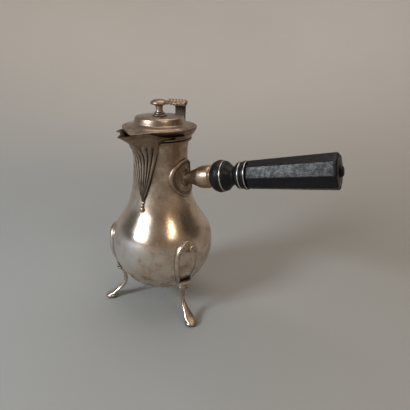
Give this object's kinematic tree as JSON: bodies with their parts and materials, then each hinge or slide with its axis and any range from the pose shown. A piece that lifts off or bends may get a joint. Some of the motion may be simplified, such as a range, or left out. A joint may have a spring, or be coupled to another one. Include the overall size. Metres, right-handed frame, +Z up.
{
  "type": "side-handled chocolate pot",
  "caption": "Small silver chocolate pot on three cast legs, with a fluted pouring lip, a hinged lid with a beak and thumbpiece, and a turned wooden side handle.",
  "frame": {"origin": "on the table under the axis of the round body, in the middle of the circle that the three feet stand on", "axes": "+Z up, +X along the wooden handle seen from above, -Y towards the pouring lip, +Y towards the lid's hinge and the rear leg"},
  "size_m": [0.2115, 0.1174, 0.2],
  "materials": {
    "tarnished_silver": "polished silver with brown tarnish in the hollows",
    "inlay_silver": "bright drawn silver wire",
    "black_wood": "ebonised hardwood, waxed to a satin sheen"
  },
  "bodies": {
    "pot": {"body": "tarnished_silver", "rim_moulding": "tarnished_silver", "neck_bead": "tarnished_silver", "spout": "tarnished_silver", "spout_pendant": "tarnished_silver", "shield_left": "tarnished_silver", "shield_right": "tarnished_silver", "shield_rear": "tarnished_silver", "leg_left": "tarnished_silver", "leg_right": "tarnished_silver", "leg_rear": "tarnished_silver", "handle_escutcheon": "tarnished_silver", "handle_socket": "tarnished_silver", "handle_grip": "black_wood", "handle_pin": "inlay_silver", "inlay_bulb": "inlay_silver", "inlay_collar_inner": "inlay_silver", "inlay_collar_outer": "inlay_silver", "hinge_bracket": "tarnished_silver", "hinge_pin": "inlay_silver"},
    "lid": {"lid": "tarnished_silver", "lid_bezel": "tarnished_silver", "finial": "tarnished_silver", "finial_nut": "inlay_silver", "hinge_lid_leaf": "tarnished_silver", "thumbpiece": "tarnished_silver"}
  },
  "joints": [
    {"name": "lid_hinge", "type": "hinge", "parent": "pot", "child": "lid", "pos_m": [0, 0.0355, 0.1749], "axis": [-1, 0, 0], "range_deg": [0, 100]}
  ]
}
